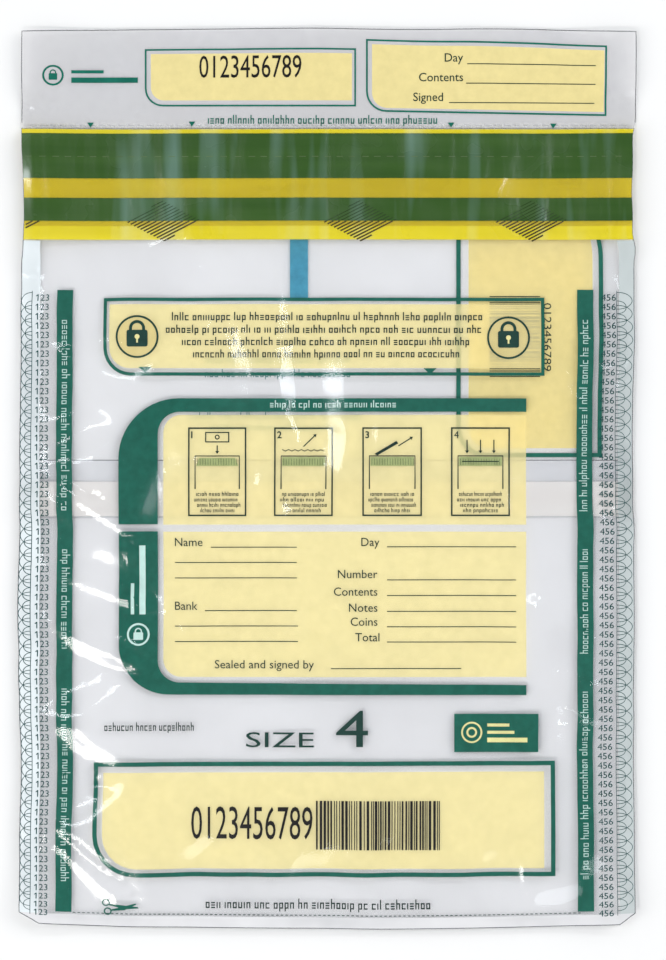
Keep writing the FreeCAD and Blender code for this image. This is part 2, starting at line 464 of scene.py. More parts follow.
# ---------------------------------------------------------------------------
# Artwork: flat shapes in artwork units, kept by ink
# ---------------------------------------------------------------------------
class Art:
    def __init__(self):
        self.ink = {}

    def add(self, key, pts, faces):
        v, f = self.ink.setdefault(key, ([], []))
        base = len(v)
        v.extend([tuple(map(float, p)) for p in pts])
        f.extend([[base + k for k in q] for q in faces])

    def quad(self, key, u0, v0, u1, v1):
        self.add(key, [(u0, v0), (u1, v0), (u1, v1), (u0, v1)], [[3, 2, 1, 0]])

    def poly(self, key, pts, shear=0.0, about=0.0):
        pts = [(u, v + shear * (u - about)) for u, v in pts]
        tris = tessellate_polygon([[Vector((u, v, 0)) for u, v in pts]])
        self.add(key, pts, [list(t) for t in tris])

    def band(self, key, outer, inner, closed=True):
        n = len(outer)
        m = n if closed else n - 1
        self.add(key, list(outer) + list(inner),
                 [[i, (i + 1) % n, n + (i + 1) % n, n + i] for i in range(m)])

    def line(self, key, pts, w, closed=False):
        p = np.array(pts, float)
        if closed:
            t = np.roll(p, -1, 0) - np.roll(p, 1, 0)
        else:
            t = np.gradient(p, axis=0) if len(p) > 2 else np.repeat([p[1] - p[0]], 2, 0)
        t = t / np.maximum(np.linalg.norm(t, axis=1, keepdims=True), 1e-9)
        n = np.stack([-t[:, 1], t[:, 0]], 1) * w / 2
        self.band(key, p + n, p - n, closed)

    def frame(self, key, u0, v0, u1, v1, w, radii=(0, 0, 0, 0), shear=0.0, about=0.0):
        o = rrect(u0, v0, u1, v1, radii)
        i = rrect(u0 + w, v0 + w, u1 - w, v1 - w, [max(r - w, 0) for r in radii])
        s = lambda q: [(u, v + shear * (u - about)) for u, v in q]
        self.band(key, s(o), s(i))

    def ring(self, key, u, v, r0, r1, n=32, a0=0.0, a1=2 * math.pi):
        closed = abs(a1 - a0 - 2 * math.pi) < 1e-6
        m = n if closed else n + 1
        A = [a0 + (a1 - a0) * k / n for k in range(m)]
        self.band(key, [(u + r1 * math.cos(a), v + r1 * math.sin(a)) for a in A],
                  [(u + r0 * math.cos(a), v + r0 * math.sin(a)) for a in A], closed)

    def disc(self, key, u, v, r, n=32):
        self.add(key, [(u + r * math.cos(2 * math.pi * k / n), v + r * math.sin(2 * math.pi * k / n)) for k in range(n)],
                 [list(range(n))])

    def words(self, key, u0, u1, v, h, seed, vertical=0, weight=0.13):
        """A line of made-up strokes that stands for a line of words, between u0 and u1.
        It spells nothing. vertical 1 runs down the sheet along u=v, -1 runs up."""
        rng = np.random.default_rng(seed)
        xh, w, t = 0.60 * h, 0.44 * h, weight * h
        kinds = ("io", "box", "box", "arch", "arch", "cup", "open", "tall", "bars", "hook", "drop", "stem")
        spans, p = [], 0.0
        while p < (u1 - u0) - 0.5 * h:
            n = int(rng.choice([2, 3, 4, 5, 6, 7, 9]))
            for _ in range(n):
                kind = str(rng.choice(kinds))
                lw = t if kind in ("io", "stem", "tall") else w
                spans.append((kind, p, lw))
                p += lw + 0.17 * h
            p += 0.30 * h
        end = spans[-1][1] + spans[-1][2]
        k = (u1 - u0) / end
        w, t2 = w * k, t * min(k, 1.1)
        pts, faces = [], []
        for kind, x, lw in spans:
            x, lw = x * k, lw * k
            r = []
            lift_up = 0.36 * h
            if kind in ("io", "stem"):
                r = [(0, 0, t2, xh)]
            elif kind == "tall":
                r = [(0, 0, t2, xh + lift_up)]
            else:
                left, right = (0, 0, t2, xh), (lw - t2, 0, lw, xh)
                top, low = (0, xh - t, lw, xh), (0, 0, lw, t)
                mid = (0, xh / 2 - t / 2, lw, xh / 2 + t / 2)
                r = {"box": [left, right, top, low], "arch": [left, right, top], "cup": [left, right, low],
                     "open": [left, top, low], "bars": [mid, top, low], "hook": [(0, 0, t2, xh + lift_up), right, top],
                     "drop": [(0, -0.26 * h, t2, xh), right, top, low]}[kind]
            for a, b, c, d in r:
                base = len(pts)
                for px, py in ((a, b), (c, b), (c, d), (a, d)):
                    px, py = x + px, py - xh / 2
                    if vertical == 1:
                        pts.append((v + py, u0 + px))
                    elif vertical == -1:
                        pts.append((v - py, u1 - px))
                    else:
                        pts.append((u0 + px, v - py))
                faces.append([base, base + 1, base + 2, base + 3])
        self.add(key, pts, faces)

    def text(self, key, s, u, v, h, width=None, align="l", bold=0.0, spin=0, squeeze=1.0):
        """Plain digits or a plain word, with its baseline at v and its capitals h tall."""
        pts, faces = glyphs(s, bold)
        w = pts[:, 0].max()
        k = (width / (w * h)) if width else squeeze
        x = pts[:, 0] * h * k
        if align == "r":
            x = x - w * h * k
        elif align == "c":
            x = x - w * h * k / 2
        y = pts[:, 1] * h
        if spin == 0:
            q = np.stack([u + x, v - y], 1)
        elif spin == 1:      # reads downwards
            q = np.stack([u + y, v + x], 1)
        else:                # reads upwards
            q = np.stack([u - y, v - x], 1)
        self.add(key, q, faces)


def rrect(u0, v0, u1, v1, radii=(0, 0, 0, 0), n=7):
    """Corner order: top left, top right, bottom right, bottom left."""
    tl, tr, br, bl = radii
    out = []
    for cu, cv, r, a in ((u0 + tl, v0 + tl, tl, math.pi), (u1 - tr, v0 + tr, tr, 1.5 * math.pi),
                         (u1 - br, v1 - br, br, 0.0), (u0 + bl, v1 - bl, bl, 0.5 * math.pi)):
        for k in range(n + 1):
            b = a + 0.5 * math.pi * k / n
            out.append((cu + r * math.cos(b), cv + r * math.sin(b)))
    return out


_glyphs = {}


def glyphs(s, bold):
    key = (s, bold)
    if key not in _glyphs:
        def shape(t):
            c = bpy.data.curves.new("g", "FONT")
            c.body, c.size, c.offset, c.resolution_u, c.fill_mode = t, 1.0, bold, 3, "FRONT"
            o = bpy.data.objects.new("g", c)
            scene.collection.objects.link(o)
            bpy.context.view_layer.update()
            m = bpy.data.meshes.new_from_object(o.evaluated_get(bpy.context.evaluated_depsgraph_get()))
            p = np.array([v.co[:2] for v in m.vertices], float).reshape(-1, 2)
            f = [list(q.vertices) for q in m.polygons]
            bpy.data.objects.remove(o)
            bpy.data.curves.remove(c)
            bpy.data.meshes.remove(m)
            return p, f
        ref, _ = shape("0")
        cap = ref[:, 1].max() - ref[:, 1].min()
        p, f = shape(s)
        p = p.copy()
        p[:, 0] -= p[:, 0].min()
        p[:, 1] -= ref[:, 1].min()
        _glyphs[key] = (p / cap, f)
    return _glyphs[key]


def padlock(art, key, u, v, s, hole=None):
    """A plain padlock: body and shackle."""
    art.poly(key, rrect(u - 0.42 * s, v - 0.05 * s, u + 0.42 * s, v + 0.62 * s, [0.08 * s] * 4, 3))
    art.ring(key, u, v - 0.12 * s, 0.20 * s, 0.32 * s, 16, math.pi, 2 * math.pi)
    art.quad(key, u - 0.32 * s, v - 0.14 * s, u - 0.20 * s, v - 0.03 * s)
    art.quad(key, u + 0.20 * s, v - 0.14 * s, u + 0.32 * s, v - 0.03 * s)
    if hole:
        art.disc(hole, u, v + 0.22 * s, 0.10 * s, 14)
        art.quad(hole, u - 0.035 * s, v + 0.24 * s, u + 0.035 * s, v + 0.46 * s)


def barcode(art, key, u0, v0, u1, v1, seed, across=True):
    rng = np.random.default_rng(seed)
    a, b = (u0, u1) if across else (v0, v1)
    p = a
    while p < b - 1.2:
        w = float(rng.choice([0.9, 0.9, 1.7, 2.5]))
        w = min(w, b - p)
        if across:
            art.quad(key, p, v0, p + w, v1)
        else:
            art.quad(key, u0, p, u1, p + w)
        p += w + float(rng.choice([0.9, 1.3, 2.0]))


def arrow(art, key, u0, v0, u1, v1, w=1.1, head=3.6):
    d = np.array([u1 - u0, v1 - v0], float)
    n = np.linalg.norm(d)
    d /= n
    e = np.array([u1, v1]) - d * head * 0.8
    art.line(key, [(u0, v0), tuple(e)], w)
    s = np.array([-d[1], d[0]]) * head * 0.55
    art.add(key, [(u1, v1), tuple(e + s), tuple(e - s)], [[0, 1, 2]])


def hatch(art, key, cu, cv, hw, hh, pitch, slope, w, top=True, low=True):
    """Slanting lines that fill a diamond."""
    t = math.tan(math.radians(slope))
    for k in range(-14, 15):
        # line v = cv - t (u - cu) + k * pitch, cut to |u|/hw + |v|/hh <= 1
        us = np.linspace(cu - hw, cu + hw, 241)
        vs = cv - t * (us - cu) + k * pitch
        ok = (np.abs(us - cu) / hw + np.abs(vs - cv) / hh <= 1) & (us > 24.5)
        if not top:
            ok &= vs >= cv
        if not low:
            ok &= vs <= cv
        if ok.sum() > 3:
            a, b = np.nonzero(ok)[0][[0, -1]]
            art.line(key, [(us[a], vs[a]), (us[b], vs[b])], w)


# --- receipt -----------------------------------------------------------------
R = Art()
R.ring("green", 54, 75, 8.6, 10.6, 28)
padlock(R, "green", 54, 73.5, 10)
R.line("green", [(72, 71.5), (104, 71.5)], 3.2)
R.line("green", [(72, 80.0), (138, 80.0)], 5.4)
R.frame("green", 145, 49, 356, 106.5, 1.7, (0, 0, 0, 18))
R.poly("yellow", rrect(151, 54, 352, 100.5, (0, 0, 0, 13)))
R.text("black", "0123456789", 199.5, 78.2, 22.2, width=102)
sh = 0.019
R.frame("green", 366, 39.5, 606, 111.5, 1.8, (0, 0, 0, 20), sh, 366)
R.poly("yellow", rrect(372, 44.5, 603.5, 107.5, (0, 0, 0, 15)), sh, 366)
for word, u, v, u0, u1, vl in (("Day", 463, 62, 467, 595, 64.2), ("Contents", 463, 81.5, 466, 595, 83.4), ("Signed", 443, 101.2, 449, 594, 102.6)):
    R.text("dark", word, u, v, 8.6, align="r", squeeze=0.98, bold=0.004)
    R.line("dark", [(u0, vl), (u1, vl + 0.6)], 0.9)
R.words("green", 208, 437, 121, 9.2, 101)
for u, v in ((91, 125), (192, 124), (451, 125), (553.4, 126)):
    R.poly("green", [(u - 3.3, v - 2.4), (u + 3.3, v - 2.4), (u, v + 2.6)])

# --- tapes and liner ---------------------------------------------------------
L = Art()
for cu in (5.5, 163.5, 360, 531.5):
    hatch(L, "brown", cu, 221.5, 39, 20.2, 3.35, 27, 1.5, top=False)
T = Art()
rngT = np.random.default_rng(77)
u = 26.0
while u < 628:
    T.line("pale", [(u, 157.2), (u + 6.5, 157.2)], 0.55)
    u += 11.5 + float(rngT.uniform(0, 3))
for cu in (163.5, 360, 531.5):
    hatch(T, "ghost", cu, 221.5, 39, 20.2, 3.35, 27, 0.6, low=False)

# --- edges of the front film -------------------------------------------------
F = Art()
pitch = 9.34
for k in range(67):
    v = 294.4 + pitch * k
    F.quad("teal", 37.4, v, 38.4, v + 6.6)
    F.poly("teal", [(37.5, v), (37.5, v + 1.4), (36.0, v + 2.3), (36.0, v + 1.4)])
    F.text("teal", "23", 40.4, v + 6.6, 6.6, width=8.6, bold=0.004)
    drift = 3.1 * min(1.0, (v - 294) / 440)
    F.text("teal", "4", 600.3 - drift, v + 6.6, 6.6, width=4.7)
    F.text("teal", "56", 605.5 - drift, v + 6.6, 6.6, width=9.4, bold=0.008)
# plain overlapping arcs across each weld
for c, s, out in ((32.6, -1, 9.2), (615.6, 1, 17.4)):
    F.line("teal", [(c, 291), (c, 917)], 0.55)
    for k in range(47):
        v = 301.0 + 13.0 * k
        for cv, q, h in ((v, 1.0, 8.4), (v + 6.5, 0.6, 6.4)):
            F.line("teal", [(c + s * q * out * math.cos(a), cv + h * math.sin(a)) for a in np.linspace(-math.pi / 2, math.pi / 2, 17)], 0.62)
F.quad("green", 56.9, 290, 72.8, 913)
F.quad("green", 576.6, 290, 592.5, 912)
for a, b, sd in ((320, 510, 1), (549, 648, 2), (688, 880, 3)):
    F.words("white", a, b, 64.6, 8.4, 110 + sd, vertical=1, weight=0.105)
for a, b, sd in ((320, 511, 1), (549, 653, 2), (691, 878, 3)):
    F.words("white", a, b, 584.6, 8.4, 120 + sd, vertical=-1, weight=0.105)

# --- notice panel ------------------------------------------------------------
F.frame("green", 103.6, 298, 544, 376, 3.4, (0, 0, 0, 27))
F.poly("yellow", rrect(109.5, 304.5, 540.5, 368.5, (0, 0, 0, 20)))
for cu, cv in ((137.4, 337), (508.2, 338)):
    F.disc("yellow2", cu, cv, 21.5, 40)
    F.ring("deep", cu, cv, 19.4, 21.4, 40)
    padlock(F, "deep", cu, cv - 5.5, 25, hole="cream")
for a, b, v, sd in ((172, 482, 318, 1), (166, 481, 330.6, 2), (182, 469, 342.9, 3), (193, 459, 355.2, 4)):
    F.words("dark", a, b, v, 8.6, 130 + sd)
for u, v in ((145, 369.8), (430, 371.2)):
    F.poly("green", [(u - 6.6, v - 2.6), (u + 6.6, v - 2.6), (u, v + 3.6)])

# --- instruction and form block ---------------------------------------------
OUT = rrect(119, 398.5, 526, 524, (60, 0, 0, 0), 12)
left_top = [(119 + 60 - 60 * math.cos(a), 398.5 + 60 - 60 * math.sin(a)) for a in np.linspace(0, math.pi / 2, 15)]
in_top = [(158 + 22 - 22 * math.cos(a), 412 + 22 - 22 * math.sin(a)) for a in np.linspace(0, math.pi / 2, 15)]
F.band("green", [(119, 524)] + left_top + [(526, 398.5)], [(158, 524)] + in_top + [(526, 412)], closed=False)
left_low = [(119 + 50 - 50 * math.cos(a), 694 - 50 + 50 * math.sin(a)) for a in np.linspace(0, math.pi / 2, 15)]
in_low = [(158 + 22 - 22 * math.cos(a), 682 - 22 + 22 * math.sin(a)) for a in np.linspace(0, math.pi / 2, 15)]
F.band("green", [(119, 531)] + left_low + [(526, 694.5)], [(158, 531)] + in_low + [(526, 684.5)], closed=False)
F.poly("yellow", rrect(163.5, 415, 526, 524.5, (18, 0, 0, 0)))
F.poly("yellow", rrect(163.5, 531.5, 526, 676.5, (0, 0, 0, 18)))
F.words("white", 270, 396, 405.4, 7.6, 141)
F.ring("white", 138.5, 634, 9.4, 11.4, 28)
padlock(F, "white", 138.5, 632.4, 11.4)
F.line("white", [(132.5, 614), (132.5, 583)], 3.4)
F.line("white", [(142.5, 614), (142.5, 545)], 6.2)

boxes = ((188.3, 246.4), (274.1, 332.9), (362.4, 422), (451, 509.8))
for k, (a, b) in enumerate(boxes):
    F.frame("dark", a, 427.5, b, 516, 1.5)
    F.text("dark", str(k + 1), a + 3.0, 438.5, 7.2, bold=0.0 if k == 3 else 0.02)
    cx = (a + b) / 2
    # the bag: an open outline with its lip
    F.line("dark", [(a + 7, 489), (a + 7, 456), (b - 7, 456), (b - 7, 489)], 1.2)
    for j, (p, q, v) in enumerate(((8, 8, 494.5), (6, 9, 500), (9, 6, 505.4), (12, 12, 510.8))):
        F.words("dark", a + p, b - q, v, 4.6, 150 + 7 * k + j)
a, b = boxes[0]
F.frame("dark", a + 17, 432, b - 17, 442.5, 1.1)
F.ring("dark", (a + b) / 2, 437.2, 1.4, 2.5, 14)
arrow(F, "dark", (a + b) / 2, 445.5, (a + b) / 2, 454)
F.poly("shade", [(a + 11, 458), (b - 11, 458), (b - 8, 466), (a + 8, 466)])
a, b = boxes[1]
F.quad("shade", a + 8, 457, b - 8, 466)
zz = [(a + 8 + 3.2 * i, 449.5 + (1.6 if i % 2 else 0)) for i in range(14)]
F.line("dark", zz, 0.9)
arrow(F, "dark", cx := (a + b) / 2, 446.5, (a + b) / 2 + 13, 434)
a, b = boxes[2]
F.quad("shade", a + 8, 457, b - 8, 466)
F.poly("dark", [(a + 12, 454), (a + 34, 441), (a + 36, 443.5), (a + 15, 455.5)])
arrow(F, "dark", a + 36, 446, b - 9, 437)
a, b = boxes[3]
F.quad("shade", a + 8, 457, b - 8, 466)
for q in (a + 16, (a + b) / 2, b - 16):
    arrow(F, "dark", q, 440, q, 453.5)
F.line("dark", [(a + 11, 461.5), (b - 11, 461.5)], 1.0)

for a, b in boxes:
    for q in np.arange(a + 9.5, b - 8.5, 2.6):
        F.line("dark", [(float(q), 458.6), (float(q), 465.0)], 0.28)

# form
for word, u, v, side in (("Name", 175, 546, "l"), ("Bank", 175, 609.5, "l"), ("Day", 379.5, 546, "r"), ("Number", 377.5, 578, "r"),
                         ("Contents", 377.5, 595.5, "r"), ("Notes", 377.5, 611.5, "r"), ("Coins", 377.5, 625.5, "r"), ("Total", 379.5, 641, "r")):
    F.text("dark", word, u, v, 8.4, align=side, squeeze=0.98)
F.text("dark", "Sealed and signed by", 314, 668, 8.4, align="r", squeeze=1.0)
for a, b, v in ((211, 297, 547), (175, 297, 562.2), (175, 297, 577.6), (205, 297, 610.2), (175, 298, 625.6), (175, 298, 641),
                (387, 516, 546.6), (387, 516, 579.6), (387, 516, 595.2), (387, 516, 611), (387, 516, 626.4), (387, 516, 641.6), (331, 461, 668)):
    F.line("dark", [(a, v), (b, v)], 0.85)

# --- lower marks, serial panel and foot --------------------------------------
F.words("dark", 105, 194, 727.4, 9.0, 171)
F.text("deep", "SIZE", 246, 746.6, 15.2, width=68, bold=0.0)
F.text("deep", "4", 336, 746.4, 36.6, width=32)
F.quad("green", 454, 713, 538, 751)
F.ring("cream", 471.5, 731.5, 8.8, 10.6, 28)
F.ring("cream", 471.5, 731.5, 3.4, 5.4, 22)
for a, b, v, w in ((487, 509, 724.2, 3.0), (487, 514, 731.4, 3.0), (487, 527, 739.0, 4.6)):
    F.line("cream", [(a, v), (b, v)], w)
F.frame("green", 93.5, 761.5, 554.5, 876, 4.4, (0, 0, 0, 42), -0.004, 93)
F.poly("yellow", rrect(103, 772, 543.5, 868, (0, 0, 0, 34)), -0.004, 93)
F.text("black", "0123456789", 191.5, 838, 32.6, width=121)
barcode(F, "black", 316, 799.5, 441, 848, 181)
F.words("dark", 206, 430, 903.8, 10.4, 172)
# scissors: two finger rings and two blades
F.ring("green", 106.6, 901.6, 2.6, 4.0, 18)
F.ring("green", 108.4, 911.0, 2.6, 4.0, 18)
F.poly("green", [(110.2, 903.2), (138.5, 906.2), (139, 907.6), (126, 908.6), (109.6, 904.8)])
F.poly("green", [(111.4, 909.2), (136, 902.4), (137, 903.6), (125, 909.6), (112, 910.6)])
u = 74.0
while u < 577:
    F.line("deep", [(u, 913.4), (u + 2.6, 913.4)], 0.85)
    u += 4.7

# --- print on the back film, seen through the bag ----------------------------
B = Art()
B.quad("blue", 290, 226.5, 308, 300)
B.band("green", [(456.2, 226.5)] + [(456.2 + 30 - 30 * math.cos(a), 457 - 30 + 30 * math.sin(a)) for a in np.linspace(0, math.pi / 2, 12)] + [(602.4, 457), (602.4, 226.5)],
       [(460.6, 226.5)] + [(460.6 + 26 - 26 * math.cos(a), 452.8 - 26 + 26 * math.sin(a)) for a in np.linspace(0, math.pi / 2, 12)] + [(598, 452.8), (598, 226.5)], closed=False)
B.line("brown", [(24, 130.0), (633, 130.0)], 0.9)
B.poly("yellow", rrect(468.5, 228, 592, 448, (0, 0, 0, 20)))
barcode(B, "dark", 489.5, 296, 540, 378, 191, across=False)
B.text("dark", "0123456789", 543.5, 303, 7.6, width=68, spin=1)
for a, b, v, h, sd in ((205, 350, 360.5, 8.5, 1), (205, 350, 374.5, 8.5, 2), (244, 297, 405, 8, 3), (191, 361, 417, 7.6, 4), (208, 344, 428, 7.6, 5)):
    B.words("faint", a, b, v, h, 200 + sd)


# ---------------------------------------------------------------------------
# Materials. Every one is built from nodes on the flat sheet's own coordinates,
# 100 mm of film to a unit.
# ---------------------------------------------------------------------------
def lin(*c):
    out = []
    for x in c:
        x = x / 255.0
        out.append(x / 12.92 if x <= 0.04045 else ((x + 0.055) / 1.055) ** 2.4)
    return tuple(out) + (1.0,)


class Mat:
    def __init__(self, name):
        self.m = bpy.data.materials.new(name)
        self.m.use_nodes = True
        self.t = self.m.node_tree
        self.t.nodes.clear()
        self.out = self.t.nodes.new("ShaderNodeOutputMaterial")
        uv = self.t.nodes.new("ShaderNodeUVMap")
        uv.uv_map = "flat"
        self.uv = uv.outputs[0]

    def node(self, kind, **sets):
        n = self.t.nodes.new(kind)
        for k, v in sets.items():
            setattr(n, k, v)
        return n

    def link(self, a, b):
        self.t.links.new(a, b)

    def mapped(self, sx=1.0, sy=1.0, rot=0.0):
        n = self.node("ShaderNodeMapping")
        n.inputs["Scale"].default_value = (sx, sy, 1)
        n.inputs["Rotation"].default_value = (0, 0, math.radians(rot))
        self.link(self.uv, n.inputs["Vector"])
        return n.outputs[0]

    def noise(self, scale, sx=1.0, sy=1.0, rot=0.0, detail=2.0, rough=0.5, distort=0.0):
        n = self.node("ShaderNodeTexNoise", noise_dimensions="2D")
        n.inputs["Scale"].default_value = scale
        n.inputs["Detail"].default_value = detail
        n.inputs["Roughness"].default_value = rough
        n.inputs["Distortion"].default_value = distort
        self.link(self.mapped(sx, sy, rot), n.inputs["Vector"])
        return n.outputs["Fac"]

    def ramp(self, fac, *stops):
        n = self.node("ShaderNodeValToRGB")
        r = n.color_ramp
        while len(r.elements) < len(stops):
            r.elements.new(0.5)
        for e, (p, c) in zip(r.elements, stops):
            e.position = p
            e.color = c if hasattr(c, "__len__") else (c, c, c, 1)
        self.link(fac, n.inputs[0])
        return n.outputs[0]

    def remap(self, fac, a, b, lo=0.0, hi=1.0):
        n = self.node("ShaderNodeMapRange")
        n.inputs["From Min"].default_value = lo
        n.inputs["From Max"].default_value = hi
        n.inputs["To Min"].default_value = a
        n.inputs["To Max"].default_value = b
        self.link(fac, n.inputs["Value"])
        return n.outputs[0]

    def bump(self, *layers):
        """layers: (height socket, depth in metres)."""
        last = None
        for h, d in layers:
            n = self.node("ShaderNodeBump")
            n.inputs["Strength"].default_value = 1.0
            n.inputs["Distance"].default_value = d
            self.link(h, n.inputs["Height"])
            if last is not None:
                self.link(last, n.inputs["Normal"])
            last = n.outputs[0]
        return last

    def surface(self, s):
        self.link(s, self.out.inputs["Surface"])
        return self.m


def film_wrinkle(k, fine=1.0, crisp=True):
    """The small crumples of thin film: broad soft dents, crisp creases and fine drawn lines."""
    if not crisp:
        return k.bump((k.noise(3.4, 1.0, 0.7, 15, 2.0), 0.0010 * fine))
    cre = k.node("ShaderNodeTexVoronoi", feature="DISTANCE_TO_EDGE", voronoi_dimensions="2D")
    cre.inputs["Scale"].default_value = 5.2
    cre.inputs["Randomness"].default_value = 1.0
    mv = k.mapped(1.0, 0.62, 24)
    wob = k.node("ShaderNodeTexNoise", noise_dimensions="2D")
    wob.inputs["Scale"].default_value = 3.0
    wob.inputs["Detail"].default_value = 2.0
    k.link(mv, wob.inputs["Vector"])
    mixv = k.node("ShaderNodeMix", data_type="VECTOR")
    mixv.inputs[0].default_value = 0.22
    k.link(mv, mixv.inputs[4])
    k.link(wob.outputs["Color"], mixv.inputs[5])
    k.link(mixv.outputs[1], cre.inputs["Vector"])
    edge = k.ramp(cre.outputs["Distance"], (0.0, 1.0), (0.10, 0.35), (0.30, 0.0))
    return k.bump(
        (k.noise(3.2, 1.0, 0.75, 15, 1.0), 0.0007 * fine),
        (edge, 0.00008 * fine),
        (k.noise(15.0, 1.0, 0.35, -12, 2.0), 0.00009 * fine),
    )


def film_material(name, through=(0.985, 0.984, 0.988), haze=0.03, tint=(236, 236, 241), gloss=0.09, fine=1.0, strong=0.7, crisp=True):
    """Clear polythene: mostly see-through, a little milky in cloudy patches, glossy over fine wrinkles."""
    k = Mat(name)
    nrm = film_wrinkle(k, fine, crisp)
    clear = k.node("ShaderNodeBsdfTransparent")
    clear.inputs["Color"].default_value = (*through, 1)
    milk = k.node("ShaderNodeBsdfPrincipled")
    milk.inputs["Roughness"].default_value = 0.55
    milk.inputs["Specular IOR Level"].default_value = 0.1
    k.link(nrm, milk.inputs["Normal"])
    cloud = k.noise(2.3, 1, 1, 30, 3.0)
    base = lin(*tint)
    k.link(k.ramp(cloud, (0.3, tuple(c * 0.84 for c in base[:3]) + (1,)), (0.7, base)), milk.inputs["Base Color"])
    m1 = k.node("ShaderNodeMixShader")
    k.link(k.remap(cloud, haze * 1.35, haze * 0.65, 0.3, 0.7), m1.inputs[0])
    k.link(clear.outputs[0], m1.inputs[1])
    k.link(milk.outputs[0], m1.inputs[2])
    shine = k.node("ShaderNodeBsdfGlossy")
    shine.inputs["Color"].default_value = (1, 1, 1, 1)
    shine.inputs["Roughness"].default_value = gloss
    k.link(nrm, shine.inputs["Normal"])
    fr = k.node("ShaderNodeFresnel")
    fr.inputs["IOR"].default_value = 1.0 + 0.5 * strong
    k.link(nrm, fr.inputs["Normal"])
    m2 = k.node("ShaderNodeMixShader")
    k.link(fr.outputs[0], m2.inputs[0])
    k.link(m1.outputs[0], m2.inputs[1])
    k.link(shine.outputs[0], m2.inputs[2])
    return k.surface(m2.outputs[0])


def ink_material(name, rgb, cover=0.97, through=None, vary=0.10, rough=0.6):
    """Printed ink: the colour's own slight mottle, and what light it lets through."""
    k = Mat(name)
    n = k.noise(26.0, 1, 1, 0, 3.0, 0.6)
    c = lin(*rgb)
    lo = tuple(max(0, x * (1 - vary)) for x in c[:3]) + (1,)
    hi = tuple(min(1, x * (1 + vary) + 0.004) for x in c[:3]) + (1,)
    p = k.node("ShaderNodeBsdfPrincipled")
    k.link(k.ramp(n, (0.3, lo), (0.7, hi)), p.inputs["Base Color"])
    p.inputs["Roughness"].default_value = rough
    p.inputs["Specular IOR Level"].default_value = 0.2
    k.link(k.bump((k.noise(60.0, 1, 1, 0, 2.0), 0.00001)), p.inputs["Normal"])
    if cover >= 0.999:
        return k.surface(p.outputs[0])
    t = k.node("ShaderNodeBsdfTransparent")
    t.inputs["Color"].default_value = (*(through or c[:3]), 1)
    m = k.node("ShaderNodeMixShader")
    k.link(k.remap(k.noise(9.0, 1, 1, 40, 2.0), cover - 0.04, min(1, cover + 0.03), 0.3, 0.7), m.inputs[0])
    k.link(t.outputs[0], m.inputs[1])
    k.link(p.outputs[0], m.inputs[2])
    return k.surface(m.outputs[0])


def tape_material(name, rgb, rgb2, rough=0.2, ripple=1.0, coat=0.5, through=0.0, glare_amount=0.0, glare_colour=(150, 186, 186)):
    """Glossy tape or liner, with soft ripples, pale painted glare streaks across it (a painted reflection mixed into
    its colour) and a faint streak along it.
    """
    k = Mat(name)
    streak = k.noise(4.0, 0.25, 5.0, 0, 3.0)
    p = k.node("ShaderNodeBsdfPrincipled")
    tint = k.node("ShaderNodeMix", data_type="RGBA")
    # painted reflection: a pale colour mixed into the base colour in streaks stretched across the tape, standing in for
    # glare
    k.link(k.remap(k.noise(8.0, 1.0, 0.10, 3, 2.5), 0.0, glare_amount, 0.54, 0.78), tint.inputs[0])
    k.link(k.ramp(streak, (0.25, lin(*rgb)), (0.75, lin(*rgb2))), tint.inputs[6])
    tint.inputs[7].default_value = lin(*glare_colour)
    k.link(tint.outputs[2], p.inputs["Base Color"])
    k.link(k.remap(k.noise(6.0, 1, 1, 0, 2.0), rough * 0.7, rough * 1.4, 0.3, 0.7), p.inputs["Roughness"])
    p.inputs["Specular IOR Level"].default_value = 0.5
    p.inputs["Coat Weight"].default_value = coat
    p.inputs["Coat Roughness"].default_value = 0.08
    b = k.bump((k.noise(5.5, 1.0, 0.13, 3, 1.5), 0.0008 * ripple), (k.noise(16.0, 1.0, 0.25, -8, 2.0), 0.00012 * ripple))
    k.link(b, p.inputs["Normal"])
    k.link(b, p.inputs["Coat Normal"])
    if not through:
        return k.surface(p.outputs[0])
    t = k.node("ShaderNodeBsdfTransparent")
    t.inputs["Color"].default_value = (*lin(*rgb2)[:3], 1)
    m = k.node("ShaderNodeMixShader")
    k.link(k.remap(streak, 1 - 1.1 * through, 1 - 0.9 * through, 0.3, 0.7), m.inputs[0])
    k.link(t.outputs[0], m.inputs[1])
    k.link(p.outputs[0], m.inputs[2])
    return k.surface(m.outputs[0])


M_FILM = film_material("clear_film", haze=0.008, gloss=0.105, strong=0.86)
M_BACK = film_material("clear_film_back", haze=0.105, tint=(246, 246, 250), gloss=0.16, fine=0.8, strong=0.4, crisp=False)
M_POUCH = film_material("clear_film_pouch", through=(0.995, 0.995, 0.997), haze=0.015, tint=(246, 246, 250), gloss=0.16, fine=0.7, strong=0.4, crisp=False)
# the pouch lip's darker, greyer film is partly its extra film layer and partly painted shade for the blue-grey band
# above the white liner
M_LIP2 = film_material("pouch_lip_film", through=(0.93, 0.935, 0.945), haze=0.20, tint=(214, 216, 222), gloss=0.16, fine=0.7, strong=0.4, crisp=False)
M_RECEIPT = film_material("receipt_film", through=(0.93, 0.93, 0.94), haze=0.45, tint=(238, 237, 240), fine=0.9)
# lit and shaded copies of one welded film: the left band is lighter and bluer as painted light, the right band darker
# as painted shade
M_WELD = film_material("welded_film", through=(0.66, 0.70, 0.72), haze=0.78, tint=(242, 250, 254), gloss=0.11, fine=1.3)
M_WELD_SHADED = film_material("welded_film_right_painted_shade", through=(0.60, 0.64, 0.65), haze=0.76, tint=(208, 217, 218), gloss=0.11, fine=1.3)
M_SEAL = film_material("bottom_seal_film", through=(0.66, 0.67, 0.69), haze=0.74, tint=(240, 240, 243), gloss=0.09, fine=1.5)
